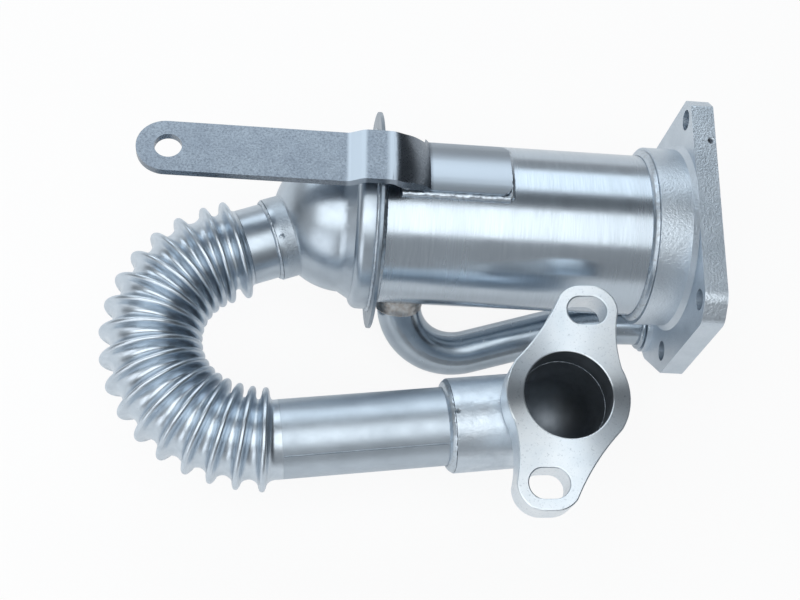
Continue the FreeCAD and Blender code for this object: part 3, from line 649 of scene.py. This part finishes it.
# %% The chains that every finish shares
class Finish(Look):
    """One metal material."""

    def __init__(self, name):
        self.material = bpy.data.materials.new(name)
        self.material.use_nodes = True
        super().__init__(self.material.node_tree)
        self.shader = self.tree.nodes["Principled BSDF"]
        self.shader.inputs["Metallic"].default_value = 1.0
        self.coords = self.add("TexCoord").outputs["Object"]
        self.normal = None

    def noise(self, size_mm, detail=3.0, rough=0.55, stretch=(1.0, 1.0, 1.0)):
        """Noise whose features are about size_mm across, longer where stretch is under one."""
        mapping = self.add("Mapping")
        mapping.inputs["Scale"].default_value = stretch
        self.join(self.coords, mapping.inputs["Vector"])
        texture = self.add("TexNoise")
        texture.inputs["Scale"].default_value = 1.0 / (size_mm * MM)
        texture.inputs["Detail"].default_value = detail
        texture.inputs["Roughness"].default_value = rough
        self.join(mapping.outputs["Vector"], texture.inputs["Vector"])
        return texture.outputs["Fac"]

    def near(self, place_mm, radius_mm, edge_mm):
        """One inside a ball about a place, falling to nothing over its edge."""
        place = tuple(part * MM for part in place_mm)
        distance = self.vector_math("DISTANCE", self.coords, place, result="Value")
        return self.ranged(distance, 1.0, 0.0, radius_mm * MM, (radius_mm + edge_mm) * MM)

    def drawn_out(self, direction, amount):
        """Stretch the highlights along a direction, across the tool marks."""
        self.shader.inputs["Anisotropic"].default_value = amount
        self.join(direction, self.shader.inputs["Tangent"])

    def bump(self, height, depth_mm):
        """Raise the surface by a height, on top of the bumps that are there already."""
        node = self.add("Bump")
        node.inputs["Strength"].default_value = 1.0
        node.inputs["Distance"].default_value = depth_mm * MM
        self.join(height, node.inputs["Height"])
        if self.normal:
            self.join(self.normal, node.inputs["Normal"])
        self.normal = node.outputs["Normal"]

    def colour(self, output):
        self.join(output, self.shader.inputs["Base Color"])

    def roughness(self, output):
        self.join(output, self.shader.inputs["Roughness"])

    def done(self):
        if self.normal:
            self.join(self.normal, self.shader.inputs["Normal"])
        return self.material


print("chains of a finish:", ", ".join(name for name in vars(Finish) if not name.startswith("_")))

# %% [markdown]
# ## Steel tones and a plain steel
#
# All of it is bare or zinc-plated steel, and what tells the pieces apart is how each was made. Clean
# steel takes a cool tint here, so four blue-grey tones serve most pieces. A plain steel has cloudy
# patches of tone and of roughness, and a fine grain. It could be one flat colour, but under soft light
# that looks like plastic.

# %% Define the tones and the plain steel
STEEL_BRIGHT = (0.65, 0.72, 0.79)
STEEL_LIGHT = (0.54, 0.61, 0.68)
STEEL_MID = (0.46, 0.525, 0.59)
STEEL_DARK = (0.36, 0.42, 0.48)

finishes = {}


def plain_steel(name, light, dark, patch_mm, smooth, rough, grain_mm, grain_depth):
    """Steel with cloudy patches of tone and roughness and a fine grain."""
    finish = Finish(name)
    cloud = finish.noise(patch_mm, detail=4.0)
    finish.colour(finish.blend(finish.ranged(cloud, 0.0, 1.0), light, dark))
    finish.roughness(finish.ranged(finish.noise(patch_mm * 0.45, detail=5.0, rough=0.65), smooth, rough))
    finish.bump(finish.noise(grain_mm, detail=2.0), grain_depth)
    return finish


print("tones", STEEL_BRIGHT, STEEL_LIGHT, STEEL_MID, STEEL_DARK)

# %% [markdown]
# ## The brushed jacket
#
# The jacket is brushed round and round. Such lines spread each highlight along the tube and keep it
# narrow across, which an anisotropic shader does with its tangent along the tube. The lines themselves
# are a noise that is stretched round the axis.

# %% Brush the jacket
def brushed_jacket():
    finish = Finish("jacket brushed")
    lines = finish.noise(0.3, detail=2.0, rough=0.6, stretch=(1.0, 0.035, 0.035))
    broad = finish.noise(9.0, detail=3.0, rough=0.6, stretch=(1.0, 0.12, 0.12))
    tone = finish.ranged(lines, 0.0, 0.6, start=0.35, end=0.65)
    finish.colour(finish.blend(tone, STEEL_LIGHT, STEEL_MID))
    finish.roughness(finish.ranged(broad, 0.21, 0.29))
    finish.drawn_out(finish.vector_math("NORMALIZE", (1.0, 0.0, 0.0)), 0.55)
    finish.bump(lines, 0.004)
    finish.bump(finish.noise(0.3, detail=2.0), 0.006)
    return finish.done()


finishes["jacket"] = brushed_jacket()
print("finish", finishes["jacket"].name)

# %% [markdown]
# ## Pressings and folds
#
# The dome, the neck pipe and the folds are satin, as sheet looks after pressing. The folds are a little
# brighter, because rolling polished them. The cuff was drawn out of the dome, and a sandy ring is left
# at its root, where a ball about the cuff's root meets the surface.

# %% Finish the pressings and the folds
PRESSING = dict(light=STEEL_LIGHT, dark=STEEL_MID, patch_mm=7.0, smooth=0.28, rough=0.36, grain_mm=0.3,
                grain_depth=0.012)
CUFF_ROOT = 20.5 * MM
CUFF_SAND_RADIUS_MM = 13.9
CUFF_SAND_EDGE_MM = 0.4


def dome_pressing():
    """The same satin as the other pressings, with the sandy ring."""
    finish = plain_steel("dome satin", **PRESSING)
    root = (DOME_CENTRE + heading(NECK_ANGLE) * CUFF_ROOT) / MM
    sandy = finish.near(root, CUFF_SAND_RADIUS_MM, CUFF_SAND_EDGE_MM)
    finish.bump(finish.math("MULTIPLY", sandy, finish.noise(0.6, detail=3.0, rough=0.7)), 0.2)
    return finish.done()


finishes["pressing"] = plain_steel("pressing satin", **PRESSING).done()
finishes["dome"] = dome_pressing()
finishes["folds"] = plain_steel("folds satin", STEEL_BRIGHT, STEEL_LIGHT, patch_mm=4.0, smooth=0.27,
                                rough=0.38, grain_mm=0.35, grain_depth=0.012).done()
print("finishes", ", ".join(finishes))

# %% [markdown]
# ## Drawn pipes
#
# The gas pipe is satin, with the lengthwise lines of the drawing die. The pipe runs nearly along X, so
# stretching the noise along X is close enough. The water pipe is darker and smoother, and the trimmed
# weld of the gas pipe's strip is dull, so that it reads as a thin line.

# %% Finish the pipes and the seam
def gas_pipe():
    finish = plain_steel("gas pipe drawn", STEEL_LIGHT, STEEL_MID, patch_mm=12.0, smooth=0.36, rough=0.46,
                         grain_mm=0.25, grain_depth=0.008)
    finish.bump(finish.noise(0.5, detail=3.0, rough=0.6, stretch=(0.03, 1.0, 1.0)), 0.006)
    return finish.done()


finishes["gas pipe"] = gas_pipe()
finishes["water pipe"] = plain_steel("water pipe drawn", STEEL_MID, STEEL_DARK, patch_mm=10.0, smooth=0.2,
                                     rough=0.28, grain_mm=0.25, grain_depth=0.005).done()
finishes["seam"] = plain_steel("seam trimmed", STEEL_DARK, (0.25, 0.3, 0.35), patch_mm=3.0, smooth=0.42,
                               rough=0.55, grain_mm=0.4, grain_depth=0.01).done()
print("finishes", ", ".join(finishes))

# %% [markdown]
# ## The cast elbow
#
# The elbow is blasted and has soft dents. The photograph shows a small dark notch in the socket's rim,
# and a rough root where the elbow is welded to the flange. Both are small enough to be painted with a
# ball about their place: the notch as a dent with painted shade in it, the root as bump. The passage is
# a plain dull steel, darker as painted shade.

# %% Finish the elbow and its passage
SOCKET_NOTCH = (-82.67, -69.07, 14.99)
# The notch's dark tone is painted shade in its dent.
NOTCH_SHADE = (0.22, 0.25, 0.28)


def cast_elbow():
    finish = Finish("elbow cast")
    cloud = finish.noise(4.0, detail=4.0)
    notch = finish.near(SOCKET_NOTCH, 0.25, 0.6)
    base = finish.blend(finish.ranged(cloud, 0.0, 1.0), STEEL_BRIGHT, STEEL_LIGHT)
    # Painted shade: the notch is darker where its dent lies.
    finish.colour(finish.blend(notch, base, NOTCH_SHADE))
    finish.roughness(finish.ranged(cloud, 0.32, 0.44))
    finish.bump(finish.noise(0.7, detail=3.0), 0.05)
    finish.bump(finish.noise(2.5, detail=4.0, rough=0.65), 0.12)
    finish.bump(notch, -0.5)
    weld_root = Vector((ELBOW_CORNER.x, ELBOW_CORNER.y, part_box("oval_flange")[0].z)) / MM
    sandy = finish.near(weld_root, 16.5, 4.0)
    finish.bump(finish.math("MULTIPLY", sandy, finish.noise(0.7, detail=3.0, rough=0.7)), 0.22)
    return finish.done()


finishes["elbow"] = cast_elbow()
# Painted shade: the passage's inner faces get this darker steel in place of the shade inside it.
finishes["bore"] = plain_steel("bore painted shade", (0.33, 0.36, 0.4), (0.23, 0.26, 0.29), patch_mm=9.0, smooth=0.45,
                               rough=0.55, grain_mm=0.3, grain_depth=0.02).done()
print("finishes", ", ".join(finishes))

# %% [markdown]
# ## The machined flange
#
# The oval flange's face was turned on a lathe. The rings about the bore spread each highlight outwards
# from it, so the shader's tangent points away from the bore's centre. Real rings in the mesh would be
# far too fine to see.

# %% Turn the oval flange's face
MACHINED_BRIGHT = (0.88, 0.93, 0.97)
MACHINED_DULL = (0.76, 0.83, 0.89)
oval_low, oval_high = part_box("oval_flange")
oval_centre = (oval_low + oval_high) / 2


def machined_face():
    finish = Finish("flange machined")
    cloud = finish.noise(9.0, detail=4.0)
    speckle = finish.noise(0.7, detail=4.0, rough=0.7)
    base = finish.blend(finish.ranged(cloud, 0.0, 1.0), MACHINED_BRIGHT, MACHINED_DULL)
    specks = finish.ranged(speckle, 0.0, 0.5, start=0.58, end=0.68)
    finish.colour(finish.blend(specks, base, STEEL_DARK))
    finish.roughness(finish.ranged(cloud, 0.3, 0.36))
    outward = finish.vector_math("SUBTRACT", finish.coords, tuple(oval_centre))
    flat = finish.vector_math("MULTIPLY", outward, (1.0, 1.0, 0.0))
    finish.drawn_out(finish.vector_math("NORMALIZE", flat), 0.97)
    finish.bump(speckle, 0.002)
    return finish.done()


finishes["machined"] = machined_face()
print("machined about", [round(part / MM, 2) for part in oval_centre], "mm")

# %% [markdown]
# ## The cast square flange
#
# This casting is blasted, so its grain is coarser than the elbow's. One dark nick on its long edge shows
# in the photograph, and it is painted in the same way as the socket's notch: a dent with painted shade in it.

# %% Finish the square flange
FLANGE_NICK = (-1.6, 21.6, 30.3)
# The nick's dark tone is painted shade in its dent.
NICK_SHADE = (0.12, 0.14, 0.17)


def cast_flange():
    finish = Finish("flange cast")
    cloud = finish.noise(14.0, detail=3.0)
    grain = finish.noise(0.8, detail=3.0, rough=0.65)
    nick = finish.near(FLANGE_NICK, 0.5, 0.7)
    base = finish.blend(finish.ranged(cloud, 0.0, 1.0), STEEL_BRIGHT, STEEL_LIGHT)
    # Painted shade: the nick is darker where its dent lies.
    finish.colour(finish.blend(nick, base, NICK_SHADE))
    finish.roughness(finish.ranged(grain, 0.32, 0.42))
    finish.bump(grain, 0.16)
    finish.bump(finish.noise(2.2, detail=3.0), 0.05)
    finish.bump(nick, -0.4)
    return finish.done()


finishes["cast"] = cast_flange()
print("finish", finishes["cast"].name)

# %% [markdown]
# ## The plated strap
#
# The strap is dull, speckled zinc. It is rubbed bright where the press bent it, in a band by the header
# plate and in another at the start of the step, and it is smooth on the saddle. Each band is a pair of
# ramps on X, which need no image and follow the strap's own sizes.

# %% Plate the strap and dull the header plate
JOGGLE_GAP = 5.6 * MM
JOGGLE_WIDTH = 4.7 * MM
JOGGLE_HIGH_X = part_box("inlet_header_plate")[0].x - JOGGLE_GAP
JOGGLE_LOW_X = JOGGLE_HIGH_X - JOGGLE_WIDTH
BEND_BEFORE = 1.5 * MM
BEND_AFTER = 1.6 * MM
BEND_FADED = 2.4 * MM
ZINC_LIGHT = (0.27, 0.31, 0.355)
ZINC_DARK = (0.225, 0.26, 0.305)
ZINC_SPECK = (0.12, 0.14, 0.175)
ZINC_RUBBED = (0.43, 0.485, 0.545)
RUBBED_ROUGHNESS = 0.31


def plated_strap():
    finish = Finish("strap plated")
    speckle = finish.noise(0.6, detail=3.0, rough=0.65)
    cloud = finish.noise(7.0, detail=3.0)
    along = finish.parts(finish.coords)["X"]

    def band(rise_start, rise_end, fall_start, fall_end):
        return finish.math("MINIMUM", finish.ranged(along, 0.0, 1.0, rise_start, rise_end),
                           finish.ranged(along, 1.0, 0.0, fall_start, fall_end))

    joggle = band(JOGGLE_LOW_X - MM, JOGGLE_LOW_X, JOGGLE_HIGH_X, JOGGLE_HIGH_X + MM)
    saddle = finish.ranged(along, 0.0, 1.0, STEP_END_X, STEP_END_X + MM)
    bend = band(STEP_START_X - BEND_BEFORE, STEP_START_X, STEP_START_X + BEND_AFTER, STEP_START_X + BEND_FADED)
    rubbed = finish.math("MAXIMUM", finish.math("MAXIMUM", joggle, saddle), bend)
    untouched = finish.ranged(rubbed, 1.0, 0.0, 0.0, 1.0)
    dull = finish.blend(finish.ranged(cloud, 0.0, 1.0), ZINC_LIGHT, ZINC_DARK)
    dull = finish.blend(finish.ranged(speckle, 0.0, 0.6, start=0.45, end=0.68), dull, ZINC_SPECK)
    finish.colour(finish.blend(rubbed, dull, ZINC_RUBBED))
    uneven = finish.math("MULTIPLY", finish.ranged(speckle, -0.07, 0.05), untouched)
    finish.roughness(finish.math("ADD", uneven, RUBBED_ROUGHNESS))
    finish.bump(finish.math("MULTIPLY", speckle, untouched), 0.015)
    return finish.done()


finishes["strap"] = plated_strap()
finishes["plate"] = plain_steel("plate dull", STEEL_DARK, (0.24, 0.29, 0.345), patch_mm=6.0, smooth=0.28,
                                rough=0.42, grain_mm=0.4, grain_depth=0.02).done()
print("rubbed bands at", [round(x / MM, 1) for x in (JOGGLE_LOW_X, STEP_START_X, STEP_END_X)], "mm")

# %% [markdown]
# ## Weld metal, braze and the bundle
#
# Weld metal is bright with darker scale in patches, and the braze is browner. The bundle, the tube
# sheet and the baffles lie inside and are only seen through the ports, so one dull steel serves them all.

# %% Finish the beads and what lies inside
def bead_metal(name, patch_mm, start, end, light, dark, smooth, rough):
    """Metal that ran and set: patches of tone with the roughness of the same patches."""
    finish = Finish(name)
    cloud = finish.noise(patch_mm, detail=5.0, rough=0.7)
    finish.colour(finish.blend(finish.ranged(cloud, 0.0, 1.0, start, end), light, dark))
    finish.roughness(finish.ranged(cloud, smooth, rough))
    finish.bump(finish.noise(0.5, detail=3.0), 0.02)
    return finish.done()


finishes["weld"] = bead_metal("weld metal", patch_mm=1.6, start=0.5, end=0.72, light=STEEL_LIGHT,
                              dark=(0.4, 0.43, 0.45), smooth=0.26, rough=0.44)
finishes["braze"] = bead_metal("braze metal", patch_mm=2.0, start=0.3, end=0.7, light=(0.52, 0.55, 0.57),
                               dark=(0.33, 0.29, 0.26), smooth=0.28, rough=0.42)
finishes["bundle"] = plain_steel("bundle tube", (0.5, 0.55, 0.6), (0.34, 0.38, 0.43), patch_mm=5.0,
                                 smooth=0.3, rough=0.45, grain_mm=0.4, grain_depth=0.01).done()
print("finishes", ", ".join(finishes))

# %% [markdown]
# ## Handing out the finishes
#
# Each piece takes the finish of the way it was made. The elbow and the oval flange take the dark bore as
# their second one, for the faces that were marked. The nodes that no piece stands for are the ones
# inside. Their material sits on the object, because their mesh belongs to the frame.

# %% Give each piece its finish
PIECE_FINISHES = [
    (square_flange, "cast"), (oval_flange, "machined"), (mounting_strap, "strap"), (header_plate, "plate"),
    (inlet_dome, "dome"), (elbow, "elbow"), (shell, "jacket"), (neck_pipe, "pressing"),
    (lower_pipe, "gas pipe"), (coolant_pipe, "water pipe"), (bellows, "folds"),
    (elbow, "bore"), (oval_flange, "bore"), (seam, "seam"), (pip, "weld"),
]
PIECE_FINISHES += [(piece, BEADS[name][0]) for name, piece in beads.items()]

for piece, key in PIECE_FINISHES:
    piece.data.materials.append(finishes[key])
for node in nodes.values():
    for slot in node.material_slots:
        slot.link = "OBJECT"
        slot.material = finishes["bundle"]
print("finishes handed out", len(PIECE_FINISHES))

# %% [markdown]
# ## Lights
#
# Polished steel shows what stands round it, so the lights are placed by reading the highlights: a wide
# soft light overhead and a little behind the camera, a narrower cool one from the back, one low on the
# near side, and dark gaps between them.

# %% Hang the soft lights
CENTRE = Vector((-90.0, -30.0, 0.0)) * MM
SOFTBOXES = [
    # name, degrees from +Z towards +Y, distance, place along X, length along X, depth, radiance, colour
    ("top softbox", -16.5, 1.0, -0.35, 1.6, 0.8, 1.56, (0.98, 1.0, 1.0)),
    ("back softbox", 50.5, 1.1, -0.45, 1.9, 0.7, 1.4, (0.86, 0.94, 1.0)),
    ("left softbox", -68.0, 1.1, -0.95, 1.2, 0.7, 1.2, (0.96, 0.98, 1.0)),
]


def add_softbox(name, degrees, distance, shift, length, depth, radiance, colour):
    lamp = bpy.data.lights.new(name, "AREA")
    lamp.shape = "RECTANGLE"
    lamp.size = length
    lamp.size_y = depth
    lamp.energy = math.pi * length * depth * radiance
    lamp.color = colour
    holder = bpy.data.objects.new(name, lamp)
    out = Vector((0.0, math.sin(math.radians(degrees)), math.cos(math.radians(degrees))))
    along = Vector((1.0, 0.0, 0.0))
    turn = Matrix((along, out.cross(along), out)).transposed().to_4x4()
    holder.matrix_world = Matrix.Translation(CENTRE + out * distance + along * shift) @ turn
    bpy.context.scene.collection.objects.link(holder)
    print(name, round(lamp.energy, 2), "W")


for values in SOFTBOXES:
    add_softbox(*values)

# %% [markdown]
# ## White for the camera
#
# The background has to be white in the picture, but a white room all round would wash out the metal. So
# the world is grey and the floor is lit, and a Light Path node mixes plain white in for the rays that
# come from the camera, straight or through glass. On the floor it does so for a part of what the metal
# mirrors, too. Painting the picture white afterwards would lose the shadow.

# %% Mix plain white in by the kind of ray
def mix_white(look, shares, shaded, white, surface):
    """Feed a surface with its shading and, by the kind of ray, with a share of plain white."""
    path = look.add("LightPath")
    total = 0.0
    for name, share in shares.items():
        total = look.math("MAXIMUM", total, look.math("MULTIPLY", path.outputs[name], share))
    mix = look.add("MixShader")
    look.feed(mix, (total, shaded, white))
    look.join(mix.outputs[0], surface)
    print("white for", ", ".join("%s %.1f" % pair for pair in shares.items()))


# %% [markdown]
# ## The studio
#
# What the metal mirrors between the lights is the world: grey, darker in a band between the two upper
# lights and towards the right, and white below, like the floor. Three smooth ramps build it from the
# direction of the ray. Black cards in the scene would do the same, but they could cast shadows.

# %% Build the world
GAP_ANGLE = math.radians(19.0)
GAP_EDGE = (0.1, 0.24)
DIM_EDGE = (0.25, 0.7)
HORIZON_EDGE = (-0.1, 0.0)
STUDIO_FAIR = (0.38, 0.39, 0.4)
STUDIO_GAP = (0.15, 0.162, 0.174)
STUDIO_DIM = (0.04, 0.045, 0.052)
STUDIO_BELOW = (1.0, 1.0, 1.0)
WORLD_WHITE = {"Is Camera Ray": 1.0, "Is Transmission Ray": 1.0}


def build_world():
    world = bpy.data.worlds.new("studio")
    world.use_nodes = True
    look = Look(world.node_tree)
    ray = look.add("TexCoord").outputs["Generated"]
    side = look.parts(ray)

    def soft_edge(value, edge, below, above):
        return look.blend(look.ranged(value, 0.0, 1.0, *edge, kind="SMOOTHSTEP"), below, above)

    across_gap = (0.0, math.cos(GAP_ANGLE), -math.sin(GAP_ANGLE))
    apart = look.math("ABSOLUTE", look.vector_math("DOT_PRODUCT", ray, across_gap, result="Value"))
    banded = soft_edge(apart, GAP_EDGE, STUDIO_GAP, STUDIO_FAIR)
    sideways = soft_edge(side["X"], DIM_EDGE, banded, STUDIO_DIM)
    upright = soft_edge(side["Z"], HORIZON_EDGE, STUDIO_BELOW, sideways)
    studio = look.tree.nodes["Background"]
    look.join(upright, studio.inputs["Color"])
    white = look.add("Background")
    white.inputs["Color"].default_value = (1.0, 1.0, 1.0, 1.0)
    mix_white(look, WORLD_WHITE, studio.outputs[0], white.outputs[0],
              look.tree.nodes["World Output"].inputs["Surface"])
    bpy.context.scene.world = world


build_world()

# %% [markdown]
# ## The floor
#
# The floor lies just under the lowest point. It isn't plain white to the camera: a tenth of it is the lit
# floor, so a soft shadow stays under the part, and the metal mirrors even more of the lit one.

# %% Lay the floor
FLOOR_SIZE = 1.6
FLOOR_GAP = 0.5 * MM
FLOOR_TONE = (0.95, 0.95, 0.95, 1.0)
FLOOR_ROUGHNESS = 0.9
FLOOR_WHITE = {"Is Camera Ray": 0.9, "Is Glossy Ray": 0.4, "Is Transmission Ray": 0.9}


def build_floor():
    work = bmesh.new()
    bmesh.ops.create_grid(work, x_segments=1, y_segments=1, size=FLOOR_SIZE / 2)
    mesh = bpy.data.meshes.new("floor")
    work.to_mesh(mesh)
    work.free()
    floor = bpy.data.objects.new("floor", mesh)
    floor.location = (CENTRE.x, CENTRE.y, solid_low[2] - FLOOR_GAP)
    bpy.context.scene.collection.objects.link(floor)
    material = bpy.data.materials.new("floor white")
    material.use_nodes = True
    look = Look(material.node_tree)
    shader = look.tree.nodes["Principled BSDF"]
    shader.inputs["Base Color"].default_value = FLOOR_TONE
    shader.inputs["Roughness"].default_value = FLOOR_ROUGHNESS
    shader.inputs["Specular IOR Level"].default_value = 0.0
    glow = look.add("Emission")
    mix_white(look, FLOOR_WHITE, shader.outputs[0], glow.outputs[0],
              look.tree.nodes["Material Output"].inputs["Surface"])
    mesh.materials.append(material)
    print("floor at", round(floor.location.z / MM, 2), "mm")


build_floor()

# %% [markdown]
# ## The camera
#
# The camera looks down on the part from above the bellows, as the photograph does, with a long lens. Its
# place and its directions were fitted to the photograph, so they are given as they came out.

# %% Set up the camera
CAMERA_PLACE = Vector((-142.614, -185.495, 400.174)) * MM
CAMERA_RIGHT = Vector((0.993613, 0.012899, 0.112102))
CAMERA_FORWARD = Vector((0.099715, 0.364675, -0.925780))
SENSOR_WIDTH_MM = 36.0
LENS_MM = 59.73
CLIP_START = 10.0 * MM


def add_camera():
    camera = bpy.data.cameras.new("camera")
    camera.sensor_width = SENSOR_WIDTH_MM
    camera.lens = LENS_MM
    camera.clip_start = CLIP_START
    holder = bpy.data.objects.new("camera", camera)
    up = CAMERA_RIGHT.cross(CAMERA_FORWARD)
    turn = Matrix((CAMERA_RIGHT, up, -CAMERA_FORWARD)).transposed().to_4x4()
    holder.matrix_world = Matrix.Translation(CAMERA_PLACE) @ turn
    bpy.context.scene.collection.objects.link(holder)
    bpy.context.scene.camera = holder
    print("camera with a lens of", round(camera.lens, 2), "mm")


add_camera()
bpy.context.scene.view_settings.view_transform = "Standard"

# %% [markdown]
